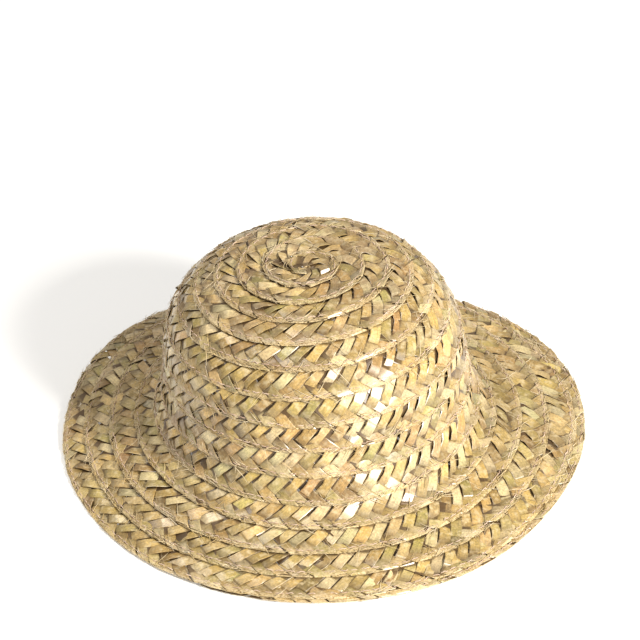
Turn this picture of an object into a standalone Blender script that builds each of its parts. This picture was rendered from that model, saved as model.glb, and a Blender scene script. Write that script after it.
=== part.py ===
"""Straw sun hat: one plaited straw braid, wound outward in a spiral and sewn row over row.

Metres, +Z up, +Y towards the back of the hat. The crown has a domed tip and a sloping side.
The side flares into a brim whose edge rises and falls, so the hat stands on three low spots.
"""
import math

import bmesh
import bpy
import numpy as np
from mathutils import Matrix, Vector

MM = 0.001

# Main form, measured to the outside of the straw.
BRIM_RADIUS = 150 * MM
CROWN_HEIGHT = 111.4 * MM

# The line from the middle of the tip to the brim edge, seen from the side.
# Columns: distance out as a share of BRIM_RADIUS, height as a share of CROWN_HEIGHT.
SIDE_LINE = (
    (0.000, 1.000),
    (0.387, 0.952),
    (0.497, 0.841),
    (0.566, 0.678),
    (0.582, 0.579),
    (0.632, 0.241),
    (0.652, 0.193),
    (0.757, 0.110),
    (1.000, 0.000),
)

# The brim is bent out of true all round, more towards its edge.
# A row for each 30 degrees, from the right side towards the back.
# Columns: reach as a share of the true radius, height as a share of BRIM_WAVE.
BRIM_WAVE = 6.3 * MM
BRIM_EDGE = (
    (1.016, 0.68),
    (1.056, 1.00),
    (1.046, 0.82),
    (1.017, -0.25),
    (1.027, 0.76),
    (1.026, 1.00),
    (1.002, -0.03),
    (0.987, -0.33),
    (0.999, -0.11),
    (1.000, 0.17),
    (0.977, -0.13),
    (0.966, -0.07),
)
BEND_FROM = 80 * MM
BEND_GROWTH = 1.3

# The crown is a little oval, and it leans and tips to the left.
CROWN_OVAL = 0.040
CROWN_LEAN = (-8.7 * MM, 1.2 * MM)
TIP_SLOPE = 0.065

# The braid. Each row lies over the upper edge of the row outside it.
BRAID_THICK = 1.3 * MM
LAP = 5.5 * MM
GAP = 0.3 * MM
PROUD = 0.5 * MM

# How much of each row shows at the front, in order from the tip out, as shares of ROW_BASE.
# The first is the folded start of the braid.
ROW_BASE = 10 * MM
ROW_SHARES = (0.80, 1.36, 1.54, 1.39, 1.42, 1.40, 1.50, 1.54, 1.46, 1.50, 1.54, 1.31, 1.54, 1.46, 1.41)

# Turns of braid in each piece. The brim's last turn slides under itself and runs out.
TIP_TURNS = 4.5
SIDE_TURNS = 6.0
BRIM_TURNS = 4.58

# Flat spots on the underside where the hat stands.
FOOT_DEPTH = 0.4 * MM

# How finely the form is followed: columns a turn, steps along the side line, and how far to
# each side the slope of the form is read.
COLUMNS = 72
LINE_STEPS = 600
SLOPE_REACH = 0.5 * MM

STRAW_ROUGHNESS = 0.42
TIP_STRAW = (0.52, 0.40, 0.21)
SIDE_STRAW = (0.60, 0.46, 0.24)
BRIM_STRAW = (0.56, 0.43, 0.22)


def spline(knots, values, at):
    """Natural cubic curve through the values, read at the given places."""
    x = np.asarray(knots, float)
    y = np.asarray(values, float)
    h = np.diff(x)
    slope = np.diff(y) / h
    bend = np.zeros(len(x))
    system = np.diag(2 * (h[:-1] + h[1:])) + np.diag(h[1:-1], 1) + np.diag(h[1:-1], -1)
    bend[1:-1] = np.linalg.solve(system, 6 * np.diff(slope))
    i = np.clip(np.searchsorted(x, at) - 1, 0, len(h) - 1)
    a = (x[i + 1] - at) / h[i]
    b = 1 - a
    curve = (a**3 - a) * bend[i] + (b**3 - b) * bend[i + 1]
    return a * y[i] + b * y[i + 1] + curve * h[i] ** 2 / 6


def side_line():
    """Distance out, height and length along the hat's side line, in fine equal steps."""
    half = np.array(SIDE_LINE) * (BRIM_RADIUS, CROWN_HEIGHT)
    mirrored = half[:0:-1] * (-1, 1)
    points = np.vstack((mirrored, half))
    stations = np.append(0, np.cumsum(np.hypot(*np.diff(points, axis=0).T)))
    stations -= stations[len(mirrored)]
    at = np.linspace(0, stations[-1], LINE_STEPS)
    out = spline(stations, points[:, 0], at)
    height = spline(stations, points[:, 1], at)
    length = np.append(0, np.cumsum(np.hypot(np.diff(out), np.diff(height))))
    return out, height, length


LINE_OUT, LINE_HEIGHT, LINE_LENGTH = side_line()
EDGE_AT = LINE_LENGTH[-1]


def around(column, direction):
    """Smooth closed curve through one column of BRIM_EDGE, read at a direction."""
    table = np.array(BRIM_EDGE)[:, column]
    place = np.mod(direction, 2 * math.pi) / (2 * math.pi) * len(table)
    i = np.floor(place).astype(int)
    t = place - i
    before, here, after, beyond = (table[(i + step) % len(table)] for step in (-1, 0, 1, 2))
    cubic = 3 * (here - after) + beyond - before
    square = 2 * before - 5 * here + 4 * after - beyond
    return here + 0.5 * t * (after - before + t * (square + t * cubic))


def form(length, direction):
    """Point of the hat's true form, by length along the side line and direction round it."""
    out = np.interp(length, LINE_LENGTH, LINE_OUT)
    height = np.interp(length, LINE_LENGTH, LINE_HEIGHT)
    bent = np.clip((out - BEND_FROM) / (BRIM_RADIUS - BEND_FROM), 0, 1) ** BEND_GROWTH
    reach = out * (1 + bent * (around(0, direction) - 1))
    up = np.clip(height / CROWN_HEIGHT, 0, 1)
    oval = CROWN_OVAL * (1 - bent)
    x = reach * np.cos(direction) * (1 - oval) + CROWN_LEAN[0] * up
    y = reach * np.sin(direction) * (1 + oval) + CROWN_LEAN[1] * up
    z = height + bent * BRIM_WAVE * around(1, direction) + TIP_SLOPE * up**2 * x
    return np.stack((x, y, z), axis=-1)


def skin(length, direction, offset):
    """Point a given distance outside the true form, square to it."""
    step = SLOPE_REACH
    low = np.clip(length, step, EDGE_AT - step)
    along = form(low + step, direction) - form(low - step, direction)
    turn = 0.01
    across = form(low, direction + turn) - form(low, direction - turn)
    square = np.cross(across, along)
    square /= -np.linalg.norm(square, axis=-1, keepdims=True)
    return form(length, direction) + square * np.expand_dims(offset, -1)


def seam(turns):
    """Length along the side line of the braid's outer edge, after so many turns."""
    ends = np.cumsum(ROW_SHARES) * ROW_BASE
    last = len(ends) - 1
    inside = spline(range(len(ends)), ends, np.clip(turns, 0, last))
    past = np.maximum(turns - last, 0) * (ends[last] - ends[last - 1])
    return inside + past


def after_gap(turns):
    """Turns at which the next piece starts, so that the two end faces stand a gap apart."""
    radius = np.interp(seam(turns - 1), LINE_LENGTH, LINE_OUT)
    return turns + GAP / (2 * math.pi * radius)


def braid_rings(first, length, from_tip):
    """Points of a length of braid, by name and column, for the seven edges of its section."""
    count = round(length * COLUMNS)
    index = np.arange(0 if from_tip else -COLUMNS, count + 1)
    turns = first + index / COLUMNS
    direction = -math.pi / 2 - 2 * math.pi * turns
    edge = seam(turns)
    next_edge = seam(turns + 1)
    shows = edge - np.where(turns < 1, 0, seam(turns - 1))
    next_shows = next_edge - edge
    drop = BRAID_THICK + GAP
    tucked = np.clip((edge - EDGE_AT) / shows, 0, 1)
    visible_end = np.minimum(edge, EDGE_AT)
    lap_end = visible_end - LAP
    top_drop = drop * (1 + LAP / next_shows)
    slope = drop * (1 - tucked) * LAP / shows
    outer = PROUD - drop * tucked
    places = {
        "edge": (visible_end, outer),
        "mid": (lap_end, outer - slope),
        "foot": (edge, PROUD - drop + 0 * edge),
        "top": (edge - LAP, PROUD - top_drop),
        "under_edge": (visible_end, outer - BRAID_THICK),
        "under_lap": (lap_end, outer - slope - BRAID_THICK),
        "under_top": (edge - LAP, PROUD - top_drop - BRAID_THICK),
    }
    rings = {}
    for name, (length, offset) in places.items():
        rings[name] = dict(zip(index.tolist(), skin(length, direction, offset)))
    if from_tip:
        middle = skin(np.array(0.0), np.array(0.0), np.array(-drop / 2))
        under_middle = skin(np.array(0.0), np.array(0.0), np.array(-drop / 2 - BRAID_THICK - GAP))
        for name in ("foot", "top", "under_top"):
            point = under_middle if name == "under_top" else middle
            rings[name].update({i: point for i in range(-COLUMNS, 0)})
    return rings, count


def braid_faces(count, from_tip):
    """Faces of a length of braid wound on itself, as lists of (edge name, column)."""
    faces = []
    wrap = COLUMNS
    for m in range(count):
        n = m + 1
        inner, inner_n = m - wrap, n - wrap
        covered = n <= count - wrap
        faces.append([("foot", inner), ("foot", inner_n), ("mid", n), ("mid", m)])
        faces.append([("mid", m), ("mid", n), ("edge", n), ("edge", m)])
        faces.append([("under_top", inner_n), ("under_top", inner), ("under_lap", m), ("under_lap", n)])
        if m < wrap and not from_tip:
            faces.append([("top", inner), ("top", inner_n), ("foot", inner_n), ("foot", inner)])
            faces.append([("top", inner_n), ("top", inner), ("under_top", inner), ("under_top", inner_n)])
        if covered:
            step = [("edge", m), ("edge", n), ("foot", n), ("foot", m)]
            if n == count - wrap:
                step.insert(2, ("under_edge", n))
            faces.append(step)
            under_step = [("under_lap", n), ("under_lap", m), ("under_top", m), ("under_top", n)]
            if m == 0 and not from_tip:
                under_step.insert(2, ("top", 0))
            faces.append(under_step)
        else:
            faces.append([("edge", m), ("edge", n), ("under_edge", n), ("under_edge", m)])
            faces.append([("under_lap", n), ("under_lap", m), ("under_edge", m), ("under_edge", n)])
    if from_tip:
        faces.append([("foot", -1), ("mid", 0), ("edge", 0), ("foot", 0)])
        faces.append([("under_top", -1), ("under_top", 0), ("under_lap", 0)])
    else:
        faces.append(
            [("top", -wrap), ("foot", -wrap), ("mid", 0), ("edge", 0)]
            + [("foot", 0), ("top", 0), ("under_lap", 0), ("under_top", -wrap)]
        )
    end = count - wrap
    faces.append(
        [("edge", count), ("mid", count), ("foot", end), ("under_edge", end)]
        + [("under_lap", end), ("under_top", end), ("under_lap", count), ("under_edge", count)]
    )
    return faces


def straw(name, colour):
    """Pale golden straw with a soft sheen."""
    material = bpy.data.materials.new(name)
    material.use_nodes = True
    shader = material.node_tree.nodes["Principled BSDF"]
    shader.inputs["Base Color"].default_value = (*colour, 1)
    shader.inputs["Roughness"].default_value = STRAW_ROUGHNESS
    shader.inputs["Metallic"].default_value = 0
    material.diffuse_color = (*colour, 1)
    return material


def sewn_braid(name, first, length, colour, from_tip=False):
    """One piece of the hat: a length of braid in turns, wound on from first, sewn to itself."""
    rings, count = braid_rings(first, length, from_tip)
    mesh = bmesh.new()
    made = {}
    for face in braid_faces(count, from_tip):
        corners = []
        for key in face:
            place = tuple(rings[key[0]][key[1]].tolist())
            if place not in made:
                made[place] = mesh.verts.new(place)
            if made[place] not in corners:
                corners.append(made[place])
        if len(corners) > 2:
            mesh.faces.new(corners)
    bmesh.ops.triangulate(mesh, faces=mesh.faces)
    bmesh.ops.recalc_face_normals(mesh, faces=mesh.faces)
    data = bpy.data.meshes.new(name)
    mesh.to_mesh(data)
    mesh.free()
    piece = bpy.data.objects.new(name, data)
    bpy.context.scene.collection.objects.link(piece)
    data.materials.append(straw(name, colour))
    return piece


def flatten_feet(piece, level):
    """Cut the lowest spots of the underside off level, and close the cuts."""
    mesh = bmesh.new()
    mesh.from_mesh(piece.data)
    everything = mesh.verts[:] + mesh.edges[:] + mesh.faces[:]
    floor = Vector((0, 0, level))
    cut = bmesh.ops.bisect_plane(
        mesh, geom=everything, dist=1e-7, plane_co=floor, plane_no=(0, 0, -1), clear_outer=True
    )
    rim = [item for item in cut["geom_cut"] if isinstance(item, bmesh.types.BMEdge)]
    bmesh.ops.edgenet_fill(mesh, edges=rim)
    bmesh.ops.triangulate(mesh, faces=mesh.faces)
    bmesh.ops.recalc_face_normals(mesh, faces=mesh.faces)
    mesh.to_mesh(piece.data)
    mesh.free()


def corners_of(pieces):
    """Lowest and highest corner of the box round all the pieces."""
    points = np.array([v.co[:] for piece in pieces for v in piece.data.vertices])
    return points.min(axis=0), points.max(axis=0)


def build():
    """Make the three pieces, stand them on their feet and centre them."""
    for old in list(bpy.data.objects):
        bpy.data.objects.remove(old, do_unlink=True)
    side_start = after_gap(TIP_TURNS)
    brim_start = after_gap(side_start + SIDE_TURNS)
    tip = sewn_braid("crown_tip", 0, TIP_TURNS, TIP_STRAW, from_tip=True)
    side = sewn_braid("crown_side", side_start, SIDE_TURNS, SIDE_STRAW)
    brim = sewn_braid("brim", brim_start, BRIM_TURNS, BRIM_STRAW)
    pieces = (tip, side, brim)
    low, high = corners_of(pieces)
    flatten_feet(brim, low[2] + FOOT_DEPTH)
    low, high = corners_of(pieces)
    centre = (low + high) / 2
    for piece in pieces:
        piece.data.transform(Matrix.Translation((-centre[0], -centre[1], -low[2])))
        piece.data.shade_smooth()
        piece.data.set_sharp_from_angle(angle=math.radians(35))


build()
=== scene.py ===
"""A straw sun hat: flat straws plaited into one long braid, wound outward and sewn row over row."""
import math

import bpy
import numpy as np
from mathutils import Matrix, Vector


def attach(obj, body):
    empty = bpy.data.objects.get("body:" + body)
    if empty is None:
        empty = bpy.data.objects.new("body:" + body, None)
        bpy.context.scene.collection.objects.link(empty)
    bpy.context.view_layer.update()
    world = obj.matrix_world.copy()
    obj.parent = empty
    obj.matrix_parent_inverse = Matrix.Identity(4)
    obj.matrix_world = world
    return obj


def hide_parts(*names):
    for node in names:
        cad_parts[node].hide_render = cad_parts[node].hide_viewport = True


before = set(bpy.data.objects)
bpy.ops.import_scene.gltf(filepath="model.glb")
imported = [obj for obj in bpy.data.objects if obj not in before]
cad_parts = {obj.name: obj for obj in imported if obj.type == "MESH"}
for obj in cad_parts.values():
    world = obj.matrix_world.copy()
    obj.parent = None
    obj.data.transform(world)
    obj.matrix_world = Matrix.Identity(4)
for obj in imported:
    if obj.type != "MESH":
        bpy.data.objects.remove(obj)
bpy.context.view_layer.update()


# The crown tip: four and a half turns of a braid of four flat straws, wound from a small hole in
# the middle. A straw goes out over one other and under two, folds at the braid's edge, and comes
# back over two and under one. Each row lies over the upper edge of the next one and is sewn there.
MM = 0.001
BRIM_RADIUS = 150 * MM
CROWN_HEIGHT = 111.4 * MM
# The line from the middle of the tip to the brim's edge, seen from the side.
# Columns: distance out as a share of BRIM_RADIUS, height as a share of CROWN_HEIGHT.
SIDE_LINE = (
    (0.000, 1.000),
    (0.387, 0.952),
    (0.497, 0.841),
    (0.566, 0.678),
    (0.582, 0.579),
    (0.632, 0.241),
    (0.652, 0.193),
    (0.757, 0.110),
    (1.000, 0.000),
)
LINE_STEPS = 600


def spline(knots, values, at):
    """Natural cubic curve: on each span the two values and the two bends weighted by place."""
    x = np.asarray(knots, float)
    y = np.asarray(values, float)
    h = np.diff(x)
    bend = np.zeros(len(x))
    system = np.diag(2 * (h[:-1] + h[1:])) + np.diag(h[1:-1], 1) + np.diag(h[1:-1], -1)
    bend[1:-1] = np.linalg.solve(system, 6 * np.diff(np.diff(y) / h))
    i = np.clip(np.searchsorted(x, at) - 1, 0, len(h) - 1)
    a = (x[i + 1] - at) / h[i]
    b = 1 - a
    curve = (a**3 - a) * bend[i] + (b**3 - b) * bend[i + 1]
    return a * y[i] + b * y[i + 1] + curve * h[i] ** 2 / 6


def side_line():
    """Out, height and length along the side line: cubic through SIDE_LINE and its mirror image."""
    half = np.array(SIDE_LINE) * (BRIM_RADIUS, CROWN_HEIGHT)
    points = np.vstack((half[:0:-1] * (-1, 1), half))
    stations = np.append(0, np.cumsum(np.hypot(*np.diff(points, axis=0).T)))
    stations -= stations[len(half) - 1]
    at = np.linspace(0, stations[-1], LINE_STEPS)
    out = spline(stations, points[:, 0], at)
    height = spline(stations, points[:, 1], at)
    return out, height, np.append(0, np.cumsum(np.hypot(np.diff(out), np.diff(height))))


LINE_OUT, LINE_HEIGHT, LINE_LENGTH = side_line()
EDGE_AT = LINE_LENGTH[-1]

# The brim is bent out of true all round, more towards its edge.
# A row for each 30 degrees, from the right side towards the back.
# Columns: reach as a share of the true radius, height as a share of BRIM_WAVE.
BRIM_WAVE = 6.3 * MM
BRIM_EDGE = (
    (1.016, 0.68),
    (1.056, 1.00),
    (1.046, 0.82),
    (1.017, -0.25),
    (1.027, 0.76),
    (1.026, 1.00),
    (1.002, -0.03),
    (0.987, -0.33),
    (0.999, -0.11),
    (1.000, 0.17),
    (0.977, -0.13),
    (0.966, -0.07),
)
BEND_FROM = 80 * MM
BEND_GROWTH = 1.3


def around(column, direction):
    """Closed cubic through one column of BRIM_EDGE, each piece from the four nearest values."""
    table = np.array(BRIM_EDGE)[:, column]
    place = np.mod(direction, 2 * math.pi) / (2 * math.pi) * len(table)
    i = np.floor(place).astype(int)
    t = place - i
    before, here, after, beyond = (table[(i + step) % len(table)] for step in (-1, 0, 1, 2))
    cubic = 3 * (here - after) + beyond - before
    square = 2 * before - 5 * here + 4 * after - beyond
    return here + 0.5 * t * (after - before + t * (square + t * cubic))


# The crown is a little oval, and it leans and tips to the left.
CROWN_OVAL = 0.040
CROWN_LEAN = (-8.7 * MM, 1.2 * MM)
TIP_SLOPE = 0.065


def form(length, direction):
    """The hat's form: out from the side line, times the reach round the brim, plus lean and wave."""
    out = np.interp(length, LINE_LENGTH, LINE_OUT)
    height = np.interp(length, LINE_LENGTH, LINE_HEIGHT)
    bent = np.clip((out - BEND_FROM) / (BRIM_RADIUS - BEND_FROM), 0, 1) ** BEND_GROWTH
    reach = out * (1 + bent * (around(0, direction) - 1))
    up = np.clip(height / CROWN_HEIGHT, 0, 1)
    oval = CROWN_OVAL * (1 - bent)
    x = reach * np.cos(direction) * (1 - oval) + CROWN_LEAN[0] * up
    y = reach * np.sin(direction) * (1 + oval) + CROWN_LEAN[1] * up
    z = height + bent * BRIM_WAVE * around(1, direction) + TIP_SLOPE * up**2 * x
    return np.stack((x, y, z), axis=-1)


# How far to each side of a point the form's slope is read, and how near the middle.
SLOPE_REACH = 0.5 * MM
SLOPE_TURN = 0.01
SLOPE_FROM = 0.75 * MM


def skin(length, direction, offset):
    """Form plus offset times the unit cross product of the steps round and along the form."""
    low = np.clip(length, SLOPE_FROM, EDGE_AT - SLOPE_REACH)
    along = form(low + SLOPE_REACH, direction) - form(low - SLOPE_REACH, direction)
    across = form(low, direction + SLOPE_TURN) - form(low, direction - SLOPE_TURN)
    square = np.cross(across, along)
    square /= -np.linalg.norm(square, axis=-1, keepdims=True)
    return form(length, direction) + square * np.expand_dims(offset, -1)


# How much of each row shows at the front, in order from the tip out, as shares of ROW_BASE.
# The first is the folded start of the braid.
ROW_BASE = 10 * MM
ROW_SHARES = (0.80, 1.36, 1.54, 1.39, 1.42, 1.40, 1.50, 1.54, 1.46, 1.50, 1.54, 1.31, 1.54, 1.46, 1.41)
BRAID_THICK = 1.3 * MM
LAP = 3.4 * MM
GAP = 0.3 * MM
PROUD = 0.5 * MM
MIDDLE_HOLE = 1.6 * MM
# The braid starts at the front and winds clockwise, seen from above. Its length is measured on a
# line that lies this share of its width in from its outer edge.
BRAID_TURNS = 15.08
START_WAY = -math.pi / 2
LENGTH_LINE = 0.4
PATH_STEPS = 4000


def seam(turns):
    """Length along the side line of the braid's outer edge: the shown widths added up, smoothed."""
    ends = np.cumsum(ROW_SHARES) * ROW_BASE
    last = len(ends) - 1
    past = np.maximum(turns - last, 0) * (ends[last] - ends[last - 1])
    return spline(range(len(ends)), ends, np.clip(turns, 0, last)) + past


def shown_row(turns):
    """Outer edge of a row, and how much of the row shows: its edge less that of the row before."""
    edge = seam(turns)
    return edge, edge - np.where(turns < 1, 0, seam(turns - 1))


def braid_width(turns):
    """Shown width plus the lap, but never past the hole in the middle of the tip."""
    edge, shows = shown_row(turns)
    return np.minimum(shows + LAP, edge - MIDDLE_HOLE)


def braid_path():
    """Turns and length along the braid: length grows by the radius times the angle turned."""
    turns = np.linspace(0, BRAID_TURNS, PATH_STEPS)
    radius = np.interp(seam(turns) - LENGTH_LINE * braid_width(turns), LINE_LENGTH, LINE_OUT)
    steps = math.pi * (radius[1:] + radius[:-1]) * np.diff(turns)
    return turns, np.append(0, np.cumsum(steps))


PATH_TURNS, PATH_LENGTH = braid_path()
# Where the form's own middle stands in the frame.
HAT_MIDDLE = (-1.230 * MM, -1.401 * MM, 2.502 * MM)


def on_braid(along, inward, rise):
    """Point of the braid: along it, in from its outer edge, and above the middle of its thickness.
    Where that would lie under the table the straw is pressed flat at height nought."""
    turns = np.interp(along, PATH_LENGTH, PATH_TURNS)
    edge, shows = shown_row(turns)
    drop = BRAID_THICK + GAP
    tucked = np.clip((edge - EDGE_AT) / shows, 0, 1)
    offset = PROUD - drop * tucked - drop * (1 - tucked) * inward / shows - BRAID_THICK / 2 + rise
    place = skin(np.minimum(edge, EDGE_AT) - inward, START_WAY - 2 * math.pi * turns, offset)
    place += HAT_MIDDLE
    place[..., 2] = np.maximum(place[..., 2], 0)
    return place


# The plait. A unit is the stretch of braid, STRAW_PITCH long, at which the next straw folds over
# the outer edge. A straw crosses the braid in LEG_UNITS of them, at 45 degrees.
STRAW_COUNT = 4
STRAW_PITCH = 9.0 * MM
LEG_UNITS = STRAW_COUNT / 2
LEG_LONG = LEG_UNITS * math.sqrt(2)
UNIT_COUNT = int(PATH_LENGTH[-1] / STRAW_PITCH) - STRAW_COUNT
STRAW_FILL = 0.985
STRAW_THICK = 0.50 * MM
LAYER = 0.34 * MM

# The two legs of a straw between the braid's edges: outward leg from one edge, and return leg.
# Columns: share of the leg, turn round the fold in degrees (90 is flat), and layer, which is 1 on
# top, -1 beneath, and more than 1 where the straw may bulge.
FLAT_TURN = 90
OUTWARD_LEG = (
    (0.000, -58, 0.0),
    (0.000, 0, 0.0),
    (0.000, 58, 0.0),
    (0.045, 90, 1.5),
    (0.100, 90, 1.9),
    (0.180, 90, 2.1),
    (0.310, 90, 1.4),
    (0.375, 90, 0.0),
    (0.430, 90, -0.9),
    (0.560, 90, -1.2),
    (0.700, 90, -1.1),
    (0.840, 90, -1.2),
    (0.950, 90, -1.0),
)
RETURN_LEG = (
    (0.000, -58, 0.0),
    (0.000, 0, 0.0),
    (0.000, 58, 0.0),
    (0.050, 90, 1.0),
    (0.175, 90, 1.0),
    (0.225, 90, 1.4),
    (0.390, 90, 3.0),
    (0.430, 90, 3.0),
    (0.590, 90, 0.9),
    (0.625, 90, 0.0),
    (0.675, 90, -0.9),
    (0.820, 90, -1.3),
    (0.950, 90, -1.0),
)
# The section of a flat straw, all round.
# Columns: place across as a share of half the width, height as a share of half the thickness.
STRAW_SECTION = (
    (-1.00, 0.0),
    (-0.86, 1.0),
    (0.86, 1.0),
    (1.00, 0.0),
    (0.86, -1.0),
    (-0.86, -1.0),
)

# At a fold the straw rolls out past the braid's edge, most in the middle of its width, and creases.
FOLD_ROLL = 0.50 * MM
SCALLOP = 0.80 * MM
CREASE_INWARD = 0.26 * MM
CREASE_UP = 0.13 * MM
OUTWARD_CREASED = 0.30
RETURN_CREASED = 0.15
END_CREASED = 0.15
# How far a straw's sides droop, going out and coming back, and how the plait crowds to its edge.
DROOP = (0.22 * MM, 0.05 * MM)
EDGE_CROWDING = 1.18

# Chance in a straw's width, in its place along the braid, and in its twist and height.
WIDTH_CHANCE = 0.045
SWAY_CHANCE = 0.05
TWIST_CHANCE = 0.36 * MM
HEIGHT_CHANCE = 0.08 * MM
BULGE_CHANCE = (0.5, 1.4)
TILT_CHANCE = 1.6 * MM
TILT_FROM = 0.3
# A straw going out grows wider up to mid leg. One coming back leaves a leaf-shaped slit beside it.
OUTWARD_WIDER = 0.10
SLIT_CHANCE = (0.3, 1.6)
SLIT_MIDDLE = 0.40
SLIT_REACH = 0.23


def smooth_chance(luck, share, spread):
    """A value at each fold and one at each leg's middle, joined along the straw by parabolas."""
    folds = luck.normal(0, spread, (len(share) + 1, 1, 1))
    bulge = luck.normal(0, spread, (len(share), 1, 1))
    straight = folds[:-1] * (1 - share) + folds[1:] * share
    return straight + bulge * 4 * share * (1 - share)


def straw_legs(units):
    """Share, turn and layer of each ring of a straw, a row for each leg, then the unit at which the
    leg starts and whether it goes outward. Each of these units has an outward and a return leg."""
    legs = np.tile(np.array((OUTWARD_LEG, RETURN_LEG), float), (len(units), 1, 1))
    share, turn, layer = legs.transpose(2, 0, 1)[..., None]
    starts = np.repeat(units.astype(float), 2) + np.tile((0, LEG_UNITS), len(units))
    outward = np.tile((True, False), len(units))
    return share, turn, layer, starts[:, None, None], outward[:, None, None]


def straw_points(luck, legs, slits):
    """Points of a straw's rings, and how near a fold each ring is. A leg runs at 45 degrees in an
    unfolded plane, and the plane is folded back at both edges of the braid: q is the way across
    the plane and s the way along it, both the leg's middle plus or minus the place across the
    straw over root two. Near its folds a ring turns to lie along the braid's edge."""
    share, turn, layer, starts, outward = legs
    across, thick = np.array(STRAW_SECTION).T
    one_each = (len(share), 1, 1)
    flat = turn == FLAT_TURN
    turn = np.radians(turn)

    opened = np.clip(1 - ((share - SLIT_MIDDLE) / SLIT_REACH) ** 2, 0, 1)
    wide = 1 + smooth_chance(luck, share, WIDTH_CHANCE)
    slit = slits * luck.uniform(*SLIT_CHANCE, one_each) * opened
    wide = wide + np.where(outward, OUTWARD_WIDER * np.clip(2 * share, 0, 1), -slit)
    sway = smooth_chance(luck, share, SWAY_CHANCE)
    twist = smooth_chance(luck, share, TWIST_CHANCE)
    lift = smooth_chance(luck, share, HEIGHT_CHANCE)
    bulge = 1 + (layer - 1) * luck.uniform(*BULGE_CHANCE, one_each)
    tilt = luck.normal(0, TILT_CHANCE, one_each) * (share - TILT_FROM) * (layer > 0.5)

    skew = np.abs(1 - 2 * share)
    centre = share * LEG_LONG
    b = 0.5 / math.sqrt(2) * STRAW_FILL * wide * across
    q = (centre + b * (1 - skew)) / math.sqrt(2)
    s = starts + (centre - b * (1 + skew)) / math.sqrt(2) + sway

    out_way = np.where(flat, 0, np.cos(turn))
    up_way = np.where(flat, 1, np.sin(turn))
    top_side = np.where(flat, np.sign(layer), np.sin(turn))
    n = np.where(outward, 1.0, -1.0) * thick * STRAW_THICK / 2
    out = out_way * (FOLD_ROLL + n - SCALLOP * across**2)
    layer = np.where(layer > 1, bulge, layer)
    rise = LAYER * np.where(flat, layer, np.sin(turn)) + up_way * n + tilt
    rise = rise - top_side * np.where(outward, *DROOP) * across**2
    rise = rise + (twist * across + lift) * flat

    creased = np.where(outward, OUTWARD_CREASED, RETURN_CREASED)
    fold = np.clip(1 - np.minimum(share / creased, (1 - share) / END_CREASED), 0, 1)
    fold = np.where(flat, fold, 1.0)
    crease = luck.normal(0, 1, (2, *s.shape)) * fold
    rise = rise + crease[0] * CREASE_UP

    along = s * STRAW_PITCH
    width = braid_width(np.interp(along, PATH_LENGTH, PATH_TURNS))
    inward = np.where(outward, q / LEG_UNITS, 1 - q / LEG_UNITS)
    inward = np.sign(inward) * np.abs(inward) ** EDGE_CROWDING * width + np.where(outward, -out, out)
    return on_braid(along, inward + crease[1] * CREASE_INWARD, rise), fold


# Straw colours. Columns: red, green, blue, and how often the colour comes up.
STRAW_TONES = (
    (0.47, 0.320, 0.100, 0.31),
    (0.52, 0.375, 0.150, 0.27),
    (0.60, 0.480, 0.250, 0.17),
    (0.40, 0.310, 0.095, 0.11),
    (0.43, 0.265, 0.090, 0.07),
    (0.32, 0.205, 0.065, 0.07),
)
LIGHTNESS_CHANCE = 0.17
CHANNEL_CHANCE = 0.03
# Painted shade on a straw that lies on top, growing towards the place where it goes under, before chance.
# Columns: least, growth over the leg, share of the leg from which it grows.
OUTWARD_SHADE = (0.25, 0.6, 0.1)
RETURN_SHADE = (0.0, 2.6, 0.40)
SHADE_CHANCE = (0.3, 1.5)
MOST_SHADE = 0.60
# A return leg also gets painted shade where it comes out from under its own fold.
FOLD_SHADE = 0.8
FOLD_SHADE_END = 0.225
FOLD_SHADE_FADE = 0.05


def straw_tones(luck, count):
    """One of STRAW_TONES for each leg, times a chance in lightness and one in each channel."""
    table = np.array(STRAW_TONES)
    pick = luck.choice(len(table), count, p=table[:, 3])
    lightness = luck.normal(1, LIGHTNESS_CHANCE, (count, 1))
    return table[pick, :3] * lightness * luck.normal(1, CHANNEL_CHANCE, (count, 3))


def straw_marks(luck, legs, fold):
    """How near a fold each point is, how much painted shade it gets, and a chance for each leg.
    An upper face gets full painted shade where the straw goes under, and painted shade growing by a
    straight line before that. A lower face gets painted shade where the straw lies on top."""
    share, turn, layer, _, outward = legs
    one_each = (len(share), 1, 1)
    flat = turn == FLAT_TURN
    thick = np.array(STRAW_SECTION)[:, 1]
    least, growth, begin = (np.where(outward, *pair) for pair in zip(OUTWARD_SHADE, RETURN_SHADE))
    shade = (least + growth * (share - begin)) * luck.uniform(*SHADE_CHANCE, one_each)
    near_fold = np.clip((FOLD_SHADE_END - share) / FOLD_SHADE_FADE, 0, 1) * FOLD_SHADE
    shade = np.clip(shade, 0, MOST_SHADE) + np.where(outward, 0, near_fold)
    upper = np.where(flat, np.where(layer < 0, -layer, shade), 0)
    lower = np.where(flat, np.clip(layer, 0, 1), 0)
    is_lower = np.where(outward, 1, -1) * thick < 0
    # Painted shade: the lower face's where the straw lies on top, else the upper face's.
    covered = np.where(is_lower, lower, np.clip(upper, 0, 1))
    return np.stack(np.broadcast_arrays(fold, covered, luck.random(one_each)), axis=-1)


def tube_faces(rings, sides, first):
    """Four-sided faces between neighbouring rings, and one face that closes each end of a tube."""
    i, j = np.meshgrid(np.arange(rings - 1), np.arange(sides), indexing="ij")
    k = (j + 1) % sides
    quads = np.stack((i * sides + j, i * sides + k, (i + 1) * sides + k, (i + 1) * sides + j), axis=-1)
    last = first + (rings - 1) * sides
    head = list(range(first + sides - 1, first - 1, -1))
    tail = list(range(last, last + sides))
    return (quads.reshape(-1, 4) + first).tolist() + [head, tail]


# Edges that bend by more than this look sharp.
SHARP_FROM = math.radians(22)
# Shift in the fibre pattern from straw to straw, so that no two are alike.
PATTERN_SHIFT = 31.7


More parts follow.
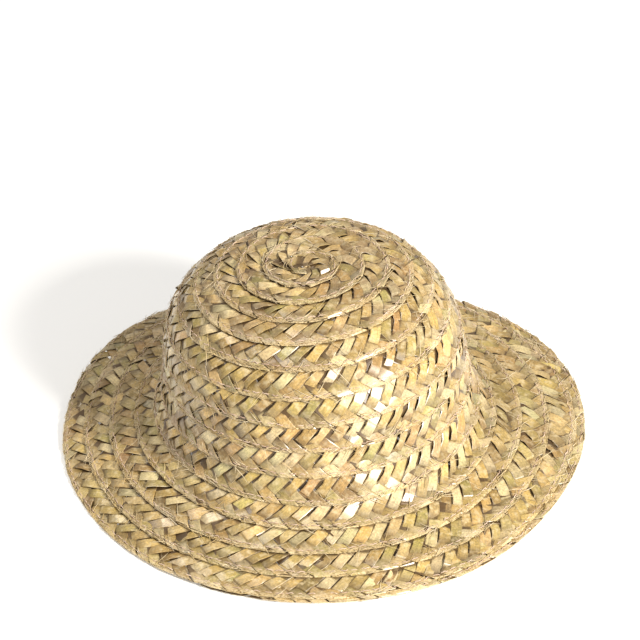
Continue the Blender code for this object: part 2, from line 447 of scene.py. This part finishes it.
def plaited_straws(name, first_unit, last_unit, slits, seed):
    """Straws of a length of braid, each one closed tube that folds from leg to leg, with its colour,
    its marks, and a map of its length and width. slits is the share of a returning straw's width
    that is left open beside it in the middle of its leg."""
    luck = np.random.default_rng(seed)
    across = np.array(STRAW_SECTION)[:, 0]
    places, maps, tones, marks, faces = [], [], [], [], []
    first = 0
    for straw in range(STRAW_COUNT):
        units = np.arange(first_unit + (straw - first_unit) % STRAW_COUNT, last_unit, STRAW_COUNT)
        legs = straw_legs(units)
        share = legs[0]
        place, fold = straw_points(luck, legs, slits)
        tone = straw_tones(luck, len(share))[:, None, None]
        places.append(place.reshape(-1, 3))
        tones.append(np.broadcast_to(tone, place.shape).reshape(-1, 3))
        marks.append(np.broadcast_to(straw_marks(luck, legs, fold), place.shape).reshape(-1, 3))
        leg = np.arange(len(share))[:, None, None]
        length = (leg + share) * LEG_LONG * math.sqrt(2) + straw * PATTERN_SHIFT + seed
        maps.append(np.stack(np.broadcast_arrays(length, (across + 1) / 2), axis=-1).reshape(-1, 2))
        rings = share.size
        faces += tube_faces(rings, len(across), first)
        first += rings * len(across)
    mesh = bpy.data.meshes.new(name)
    mesh.from_pydata(np.concatenate(places).tolist(), [], faces)
    uv = mesh.uv_layers.new(name="straw_length")
    corners = np.empty(len(mesh.loops), int)
    mesh.loops.foreach_get("vertex_index", corners)
    uv.data.foreach_set("uv", np.concatenate(maps)[corners].astype(np.float32).ravel())
    tone = mesh.attributes.new("straw_tone", "FLOAT_COLOR", "POINT")
    colours = np.concatenate((np.concatenate(tones), np.ones((first, 1))), axis=1)
    tone.data.foreach_set("color", colours.astype(np.float32).ravel())
    mark = mesh.attributes.new("straw_marks", "FLOAT_VECTOR", "POINT")
    mark.data.foreach_set("vector", np.concatenate(marks).astype(np.float32).ravel())
    mesh.shade_smooth()
    mesh.set_sharp_from_angle(angle=SHARP_FROM)
    piece = bpy.data.objects.new(name, mesh)
    bpy.context.scene.collection.objects.link(piece)
    return piece


def new_material(name):
    """A material with its node tree and its shader."""
    material = bpy.data.materials.new(name)
    material.use_nodes = True
    return material, material.node_tree, material.node_tree.nodes["Principled BSDF"]


def add_node(tree, kind, **settings):
    """A shader node with the given settings."""
    made = tree.nodes.new(kind)
    for key, value in settings.items():
        setattr(made, key, value)
    return made


def feed(tree, socket, value):
    """Gives a socket a number or a colour of its own, or else links it to what makes its value."""
    if isinstance(value, (int, float)):
        socket.default_value = value
    elif isinstance(value, tuple):
        socket.default_value = (*value, 1)
    else:
        tree.links.new(value, socket)


def maths(tree, operation, a, b):
    """One step of arithmetic on a and b."""
    made = add_node(tree, "ShaderNodeMath", operation=operation)
    feed(tree, made.inputs[0], a)
    feed(tree, made.inputs[1], b)
    return made.outputs[0]


def mixed(tree, share, a, b, blend="MIX"):
    """Colour a with a share of colour b mixed into it, or multiplied into it."""
    made = add_node(tree, "ShaderNodeMix", data_type="RGBA", blend_type=blend)
    for socket, value in zip((made.inputs[0], made.inputs[6], made.inputs[7]), (share, a, b)):
        feed(tree, socket, value)
    return made.outputs[2]


def noise(tree, place, scale, detail):
    """Smooth noise between nought and one at a place. scale is how many waves there are in a unit."""
    made = add_node(tree, "ShaderNodeTexNoise")
    made.inputs["Scale"].default_value = scale
    made.inputs["Detail"].default_value = detail
    tree.links.new(place, made.inputs["Vector"])
    return made.outputs["Fac"]


def ranged(tree, value, old, new):
    """A value carried in a straight line from the old range to the new one, and kept within it."""
    made = add_node(tree, "ShaderNodeMapRange")
    tree.links.new(value, made.inputs["Value"])
    for key, end in zip(("From Min", "From Max", "To Min", "To Max"), (*old, *new)):
        made.inputs[key].default_value = end
    return made.outputs[0]


# How the fibre pattern is scaled along and across the straw, and how far straws differ in it.
FIBRE_ALONG = 0.35
FIBRE_ACROSS = 9.0
FIBRE_DIFFERS = 40.0


def straw_patterns(tree):
    """What the looks of straw are made from: its tone and marks, how near a point is to the straw's
    sides (0 in the middle, 1 at a side), and noise stretched along the straw or even all round."""
    tone = add_node(tree, "ShaderNodeAttribute", attribute_name="straw_tone").outputs["Color"]
    marks = add_node(tree, "ShaderNodeSeparateXYZ")
    mark = add_node(tree, "ShaderNodeAttribute", attribute_name="straw_marks").outputs["Vector"]
    tree.links.new(mark, marks.inputs[0])
    # The second mark is how much shade is painted on the straw.
    fold, covered, chance = marks.outputs
    uv = add_node(tree, "ShaderNodeSeparateXYZ")
    tree.links.new(add_node(tree, "ShaderNodeUVMap", uv_map="straw_length").outputs[0], uv.inputs[0])
    stretched = add_node(tree, "ShaderNodeCombineXYZ")
    tree.links.new(maths(tree, "MULTIPLY", uv.outputs[0], FIBRE_ALONG), stretched.inputs[0])
    tree.links.new(maths(tree, "MULTIPLY", uv.outputs[1], FIBRE_ACROSS), stretched.inputs[1])
    tree.links.new(maths(tree, "MULTIPLY", chance, FIBRE_DIFFERS), stretched.inputs[2])
    from_middle = maths(tree, "SUBTRACT", maths(tree, "MULTIPLY", uv.outputs[1], 2.0), 1.0)
    place = add_node(tree, "ShaderNodeTexCoord").outputs["Object"]
    return {
        "tone": tone,
        "fold": fold,
        "covered": covered,
        "side": maths(tree, "ABSOLUTE", from_middle, 0.0),
        "fibre": noise(tree, stretched.outputs[0], scale=1.6, detail=4),
        "blotch": noise(tree, place, scale=90, detail=3),
        "spots": noise(tree, place, scale=330, detail=3),
        "crinkle": noise(tree, place, scale=900, detail=4),
    }


# The colours that are mixed in, and the most of each that is.
# Painted shade at the straw's sides, where neighbouring straws meet, less near a fold.
PAINTED_SIDE_SHADE = (0.17, 0.095, 0.035)
SIDE_SHARE = 0.6
SIDE_NARROWNESS = 9.0
BLEACHED = (0.70, 0.57, 0.34)
BLEACHED_SHARE = 0.6
PALE_CREASE = (0.68, 0.53, 0.30)
CREASE_SHARE = 0.95
# Painted shade, a near-black brown, where another straw covers the straw and in the slits between straws.
PAINTED_UNDER_SHADE = (0.060, 0.026, 0.004)
UNDER_SHARE = 0.93


def straw_colour(tree, pattern, stain, stained):
    """The straw's tone times its fibre streaks, then stain mixed in where the blotches are, painted
    shade at its sides, times a fine mottle, then pale spots and creases, and dark painted shade
    where another straw covers it."""
    fold = pattern["fold"]
    streak = ranged(tree, pattern["fibre"], (0.3, 0.7), (0.74, 1.2))
    colour = mixed(tree, 1.0, pattern["tone"], streak, "MULTIPLY")
    blotch = ranged(tree, pattern["blotch"], (0.42, 0.64), (0.0, stained))
    colour = mixed(tree, blotch, colour, stain)
    away_from_fold = maths(tree, "SUBTRACT", SIDE_SHARE, maths(tree, "MULTIPLY", fold, SIDE_SHARE))
    near_side = maths(tree, "POWER", pattern["side"], SIDE_NARROWNESS)
    # Painted shade at the straw's sides, less near a fold.
    colour = mixed(tree, maths(tree, "MULTIPLY", near_side, away_from_fold), colour, PAINTED_SIDE_SHADE)
    mottle = ranged(tree, pattern["crinkle"], (0.35, 0.65), (0.78, 1.20))
    colour = mixed(tree, 1.0, colour, mottle, "MULTIPLY")
    spots = ranged(tree, pattern["spots"], (0.50, 0.68), (0.0, BLEACHED_SHARE))
    colour = mixed(tree, spots, colour, BLEACHED)
    pale = ranged(tree, pattern["crinkle"], (0.42, 0.60), (0.1, CREASE_SHARE))
    colour = mixed(tree, maths(tree, "MULTIPLY", fold, pale), colour, PALE_CREASE)
    # Painted shade where another straw lies over or under this one.
    return mixed(tree, maths(tree, "MULTIPLY", pattern["covered"], UNDER_SHARE), colour, PAINTED_UNDER_SHADE)


def bumped(tree, height, distance, strength, normal=None):
    """The surface's direction tilted by the slope of a height, whose full range is distance."""
    made = add_node(tree, "ShaderNodeBump")
    made.inputs["Distance"].default_value = distance
    feed(tree, made.inputs["Strength"], strength)
    tree.links.new(height, made.inputs["Height"])
    if normal is not None:
        tree.links.new(normal, made.inputs["Normal"])
    return made.outputs[0]


# Roughness: from one fibre to the next, and what creases and the places of painted shade add to it.
ROUGHNESS = (0.46, 0.30)
CREASE_DULLS = 0.22
COVER_DULLS = 0.5
# Relief: depth and strength of the fibres' ribs and of the creases.
RIB_DEPTH = 0.12 * MM
RIB_STRENGTH = 0.35
CREASE_DEPTH = 0.8 * MM
CREASE_STRENGTH = 0.8


def straw_material(name, stain, stained):
    """Dry straw with a waxy coat: glossier along its fibres, dull where it is creased or carries painted
    shade, ribbed by its fibres and crinkled at its folds. stained is the most that stain is mixed in."""
    material, tree, shader = new_material(name)
    pattern = straw_patterns(tree)
    shader.inputs["Specular IOR Level"].default_value = 0.4
    shader.inputs["Coat Weight"].default_value = 1.0
    shader.inputs["Coat Roughness"].default_value = 0.30
    tree.links.new(straw_colour(tree, pattern, stain, stained), shader.inputs["Base Color"])
    creased = maths(tree, "MULTIPLY", pattern["fold"], CREASE_DULLS)
    dull = maths(tree, "ADD", creased, maths(tree, "MULTIPLY", pattern["covered"], COVER_DULLS))
    gloss = ranged(tree, pattern["fibre"], (0.3, 0.7), ROUGHNESS)
    tree.links.new(maths(tree, "ADD", gloss, dull), shader.inputs["Roughness"])
    ribs = bumped(tree, pattern["fibre"], RIB_DEPTH, RIB_STRENGTH)
    folded = maths(tree, "MULTIPLY", pattern["fold"], CREASE_STRENGTH)
    creases = bumped(tree, pattern["crinkle"], CREASE_DEPTH, folded, ribs)
    tree.links.new(creases, shader.inputs["Normal"])
    return material


def unit_at(turns):
    """Number of the straw unit that starts after so many turns: length along over pitch."""
    return int(np.interp(turns, PATH_TURNS, PATH_LENGTH) / STRAW_PITCH)


TIP_TURNS = 4.5
tip = plaited_straws("crown_tip_straws", 0, unit_at(TIP_TURNS), slits=0.08, seed=11)
tip.data.materials.append(straw_material("tip_straw", stain=(0.41, 0.270, 0.130), stained=0.75))
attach(tip, "root")
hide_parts("crown_tip")


# Sewing thread: one cotton thread in short running stitches just above each row's outer edge.
# It goes through the lap of the two rows, and is paler and duller than the straw.
THREAD_THICK = 0.52 * MM
THREAD_SIDES = 4
STITCH = 5.5 * MM
STITCH_STEPS = 6
STITCH_INWARD = 2.3 * MM
# The thread lies this high, and dives this deep where the cosine of its place passes a level.
STITCH_HIGH = 1.05 * MM
STITCH_DIVE = 1.4 * MM
DIVE_FROM = 0.35
# The seam wanders slowly, and each step of it a little.
WANDER_EVERY = 20 * MM
WANDER = 0.35 * MM
STEP_WANDER = 0.25 * MM


def clouded(tree, place, scale, dark, pale):
    """Colour that goes from dark to pale with noise. Each is a level of the noise and a colour."""
    shade = add_node(tree, "ShaderNodeValToRGB")
    for element, (level, colour) in zip(shade.color_ramp.elements, (dark, pale)):
        element.position = level
        element.color = (*colour, 1)
    tree.links.new(noise(tree, place, scale, detail=2), shade.inputs["Fac"])
    return shade.outputs["Color"]


THREAD_DARK = (0.46, 0.32, 0.23)
THREAD_PALE = (0.68, 0.52, 0.41)
TWIST_DEPTH = 0.1 * MM


def thread_material():
    """Undyed cotton: pale and dull, with a fine twist in its relief."""
    material, tree, shader = new_material("undyed_thread")
    shader.inputs["Roughness"].default_value = 0.75
    shader.inputs["Specular IOR Level"].default_value = 0.25
    place = add_node(tree, "ShaderNodeTexCoord").outputs["Object"]
    colour = clouded(tree, place, scale=140, dark=(0.35, THREAD_DARK), pale=(0.65, THREAD_PALE))
    tree.links.new(colour, shader.inputs["Base Color"])
    twist = bumped(tree, noise(tree, place, scale=2500, detail=2), TWIST_DEPTH, strength=1.0)
    tree.links.new(twist, shader.inputs["Normal"])
    return material


# A direction that no line here runs along, from which the rings' own directions are worked out.
ODD_WAY = (0.31, 0.17, 0.93)


def tubes(name, lines, radii, sides, material):
    """Closed tubes along many lines at once. lines is (tubes, stations, 3), radii (tubes, stations).
    Each ring is the centre plus the radius times cosine and sine of the two cross directions."""
    ahead = np.gradient(lines, axis=1)
    ahead /= np.linalg.norm(ahead, axis=-1, keepdims=True)
    aside = np.cross(ahead, ODD_WAY)
    aside /= np.linalg.norm(aside, axis=-1, keepdims=True)
    upright = np.cross(aside, ahead)
    angle = np.arange(sides) * 2 * math.pi / sides
    ring = aside[:, :, None] * np.cos(angle)[:, None] + upright[:, :, None] * np.sin(angle)[:, None]
    points = lines[:, :, None] + ring * radii[:, :, None, None]
    count, stations = lines.shape[:2]
    tube, i, j = np.meshgrid(np.arange(count), np.arange(stations - 1), np.arange(sides), indexing="ij")
    k = (j + 1) % sides
    first = tube * stations * sides + i * sides
    quads = np.stack((first + j, first + sides + j, first + sides + k, first + k), axis=-1).reshape(-1, 4)
    starts = np.arange(count)[:, None] * stations * sides
    heads = starts + np.arange(sides)
    tails = starts + (stations - 1) * sides + np.arange(sides)[::-1]
    mesh = bpy.data.meshes.new(name)
    mesh.from_pydata(points.reshape(-1, 3).tolist(), [], quads.tolist() + heads.tolist() + tails.tolist())
    mesh.shade_smooth()
    mesh.materials.append(material)
    piece = bpy.data.objects.new(name, mesh)
    bpy.context.scene.collection.objects.link(piece)
    return piece


def sewn_row(name, first_turn, last_turn, seed, material):
    """Running stitches: height is a clipped cosine of the place in the stitch, so that the thread
    lies on the straw for most of each stitch and dives at its end."""
    luck = np.random.default_rng(seed)
    start, end = np.interp((first_turn, last_turn), PATH_TURNS, PATH_LENGTH)
    along = np.arange(start, end, STITCH / STITCH_STEPS)
    phase = np.cos(along / STITCH * 2 * math.pi)
    rise = STITCH_HIGH - STITCH_DIVE * np.clip((phase - DIVE_FROM) / (1 - DIVE_FROM), 0, 1)
    bends = np.arange(start, end + 1.5 * WANDER_EVERY, WANDER_EVERY)
    wander = np.interp(along, bends, luck.normal(0, WANDER, len(bends)))
    step = luck.normal(0, STEP_WANDER, len(along))
    line = on_braid(along, STITCH_INWARD + wander + step, rise)
    radii = np.full((1, len(line)), THREAD_THICK / 2)
    return tubes(name, line[None], radii, THREAD_SIDES, material)


thread = thread_material()
FIRST_STITCH = 0.2
tip_thread = sewn_row("crown_tip_thread", FIRST_STITCH, TIP_TURNS, seed=21, material=thread)
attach(tip_thread, "root")


# Loose fibres: dry straw splits, so fine pale hairs stand up along the folds and the seams.
# They are slivers of the same straw, a few millimetres long.
FIBRE_LONG = (3, 12)
FIBRE_RADIUS = 0.17 * MM
FIBRE_RADIUS_CHANCE = (0.6, 1.6)
FIBRE_TIP = 1.05
FIBRE_SIDES = 3
FIBRE_STATIONS = 5
# Where a fibre starts, in from the row's edge, in MM: least, likeliest and most.
FIBRE_START = (-0.4, 0.3, 4.0)
FIBRE_TURN = 0.5
FIBRE_BEND = 0.25
# How high its root and its end stand, in MM: the end by a gamma chance, which is capped.
FIBRE_ROOT_HIGH = 0.75
FIBRE_END_HIGH = (1.5, 0.6)
FIBRE_MOST_HIGH = 2.5


def loose_fibres(name, first_turn, last_turn, count, seed, material):
    """Hairs that start at a fold: each runs mostly along the row, and rises by the square of the
    way along it, with a side bend that is random."""
    luck = np.random.default_rng(seed)
    one_each = (count, 1)
    start, end = np.interp((first_turn, last_turn), PATH_TURNS, PATH_LENGTH)
    root = luck.uniform(start, end, one_each)
    t = np.linspace(0, 1, FIBRE_STATIONS)
    long = luck.uniform(*FIBRE_LONG, one_each) * MM
    way = luck.normal(0, FIBRE_TURN, one_each) + np.where(luck.random(one_each) < 0.5, 0, math.pi)
    along = root + long * t * np.cos(way)
    inward = luck.triangular(*FIBRE_START, one_each) * MM
    inward = inward + long * (np.sin(way) * t + luck.normal(0, FIBRE_BEND, one_each) * t**2)
    high = np.minimum(luck.gamma(*FIBRE_END_HIGH, one_each), FIBRE_MOST_HIGH)
    rise = (FIBRE_ROOT_HIGH + high * t**2) * MM
    line = on_braid(np.clip(along, 0, PATH_LENGTH[-1]), inward, rise)
    radius = FIBRE_RADIUS * luck.uniform(*FIBRE_RADIUS_CHANCE, one_each) * (FIBRE_TIP - t**2)
    return tubes(name, line, radius, FIBRE_SIDES, material)


FIBRE_DARK = (0.50, 0.36, 0.16)
FIBRE_PALE = (0.72, 0.60, 0.40)


def fibre_material():
    """Split straw: half dull, and paler in some parts of the hat than in others."""
    material, tree, shader = new_material("straw_fibre")
    shader.inputs["Roughness"].default_value = 0.5
    place = add_node(tree, "ShaderNodeTexCoord").outputs["Object"]
    colour = clouded(tree, place, scale=60, dark=(0.4, FIBRE_DARK), pale=(0.6, FIBRE_PALE))
    tree.links.new(colour, shader.inputs["Base Color"])
    return material


fibre = fibre_material()
FIRST_FIBRE = 0.3
tip_fibres = loose_fibres("crown_tip_fibres", FIRST_FIBRE, TIP_TURNS, count=600, seed=31, material=fibre)
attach(tip_fibres, "root")


# The start of the braid: its cut straws are turned under the middle of the tip and sewn down there.
# They are five stubs of the same straw, side by side, and they close the middle hole from below.
STUB_COUNT = 5
STUB_STATIONS = 7
STUB_SIDES = 8
STUB_DEPTH = 2.9 * MM
STUB_LONG = 15 * MM
STUB_THICK = 1.6 * MM
STUB_STEP = 0.95 * STUB_THICK
STUB_WAY = math.radians(200)
STUB_SPREAD = math.radians(9)


def stub_lines():
    """Middle line of each stub: a straight line that lies in the slope of the tip, a step to the
    side of its neighbour and turned from it by the same angle each time."""
    stub = (np.arange(STUB_COUNT) - STUB_COUNT // 2)[:, None, None]
    fan = STUB_WAY + STUB_SPREAD * stub
    middle = skin(np.zeros(1), np.zeros(1), np.array([-STUB_DEPTH]))[0] + HAT_MIDDLE
    aside = STUB_STEP * stub * np.array((-math.sin(STUB_WAY), math.cos(STUB_WAY), 0))
    ahead = np.concatenate((np.cos(fan), np.sin(fan), TIP_SLOPE * np.cos(fan)), axis=-1)
    return middle + aside + ahead * np.linspace(-0.5, 0.5, STUB_STATIONS)[:, None] * STUB_LONG


stub_radii = np.full((STUB_COUNT, STUB_STATIONS), STUB_THICK / 2)
tip_start = tubes("crown_tip_start", stub_lines(), stub_radii, STUB_SIDES, fibre)
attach(tip_start, "root")


# The crown side: six more turns of the same braid, each row stepping down and a little out.
# It is sewn on round the tip without a cut in the braid.
SIDE_TURNS = 6.0
SIDE_END = TIP_TURNS + SIDE_TURNS
side = plaited_straws("crown_side_straws", unit_at(TIP_TURNS), unit_at(SIDE_END), slits=0.17, seed=12)
side.data.materials.append(straw_material("side_straw", stain=(0.46, 0.30, 0.11), stained=0.35))
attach(side, "root")
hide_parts("crown_side")
side_thread = sewn_row("crown_side_thread", TIP_TURNS, SIDE_END, seed=22, material=thread)
side_fibres = loose_fibres("crown_side_fibres", TIP_TURNS, SIDE_END, count=2000, seed=32, material=fibre)
for piece in (side_thread, side_fibres):
    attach(piece, "root")


# The brim: the last turns, worked wider so that the braid lies nearly flat and waves at its edge.
# The end of the braid slides under the last row and is sewn down there.
brim = plaited_straws("brim_straws", unit_at(SIDE_END), UNIT_COUNT, slits=0.09, seed=13)
brim.data.materials.append(straw_material("brim_straw", stain=(0.48, 0.34, 0.15), stained=0.40))
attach(brim, "root")
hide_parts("brim")
THREAD_END = BRAID_TURNS - 0.1
FIBRES_END = BRAID_TURNS - 0.2
brim_thread = sewn_row("brim_thread", SIDE_END, THREAD_END, seed=23, material=thread)
brim_fibres = loose_fibres("brim_fibres", SIDE_END, FIBRES_END, count=2400, seed=33, material=fibre)
for piece in (brim_thread, brim_fibres):
    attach(piece, "root")


# The table that the hat stands on, the daylight round it, and the view from the front above.
# The table is white paper with a faint glow of its own, a hair below the hat.
FLOOR_SIZE = 6.0
FLOOR_DROP = 0.3 * MM


def table():
    """A flat square of white paper, a little below the hat so that the two don't meet."""
    mesh = bpy.data.meshes.new("table")
    corner = FLOOR_SIZE / 2
    corners = [(-corner, -corner, 0), (corner, -corner, 0), (corner, corner, 0), (-corner, corner, 0)]
    mesh.from_pydata(corners, [], [(0, 1, 2, 3)])
    paper, _, shader = new_material("pale_table")
    shader.inputs["Base Color"].default_value = (0.90, 0.90, 0.90, 1)
    shader.inputs["Roughness"].default_value = 0.9
    shader.inputs["Specular IOR Level"].default_value = 0.1
    shader.inputs["Emission Color"].default_value = (1, 1, 1, 1)
    shader.inputs["Emission Strength"].default_value = 0.20
    mesh.materials.append(paper)
    piece = bpy.data.objects.new("table", mesh)
    piece.location.z = -FLOOR_DROP
    bpy.context.scene.collection.objects.link(piece)
    return piece


floor = table()

world = bpy.data.worlds.new("daylight")
bpy.context.scene.world = world
world.use_nodes = True
world.node_tree.nodes["Background"].inputs["Color"].default_value = (1.0, 0.98, 0.94, 1)
world.node_tree.nodes["Background"].inputs["Strength"].default_value = 0.37

LIT_POINT = Vector((0, 0, 0.05))


def soft_lamp(name, place, size, watts, colour):
    """A square lamp at a place, turned to face the middle of the hat."""
    lamp = bpy.data.lights.new(name, "AREA")
    lamp.size = size
    lamp.energy = watts
    lamp.color = colour
    held = bpy.data.objects.new(name, lamp)
    bpy.context.scene.collection.objects.link(held)
    held.location = place
    held.rotation_euler = (LIT_POINT - held.location).to_track_quat("-Z", "Y").to_euler()


soft_lamp("key", (1.14, -1.14, 0.94), size=0.36, watts=56, colour=(1.0, 0.975, 0.92))
soft_lamp("overhead", (-0.60, 0.05, 1.40), size=0.6, watts=9, colour=(1.0, 0.97, 0.92))

# The camera looks down at the hat from the front, through a lens almost three pictures long.
EYE = (-0.00178, -0.88970, 0.65866)
SENSOR = 36
LENS_PIXELS = 1899.27
PHOTO_PIXELS = 640
LOOK_DOWN = math.radians(33.16)
LOOK_LEFT = math.radians(0.055)
camera_data = bpy.data.cameras.new("camera")
camera = bpy.data.objects.new("camera", camera_data)
bpy.context.scene.collection.objects.link(camera)
camera_data.sensor_width = SENSOR
camera_data.lens = LENS_PIXELS * SENSOR / PHOTO_PIXELS
camera_data.clip_end = 20
camera.location = EYE
camera.rotation_euler = (math.pi / 2 - LOOK_DOWN, 0, LOOK_LEFT)
bpy.context.scene.camera = camera
bpy.context.scene.view_settings.view_transform = "Standard"
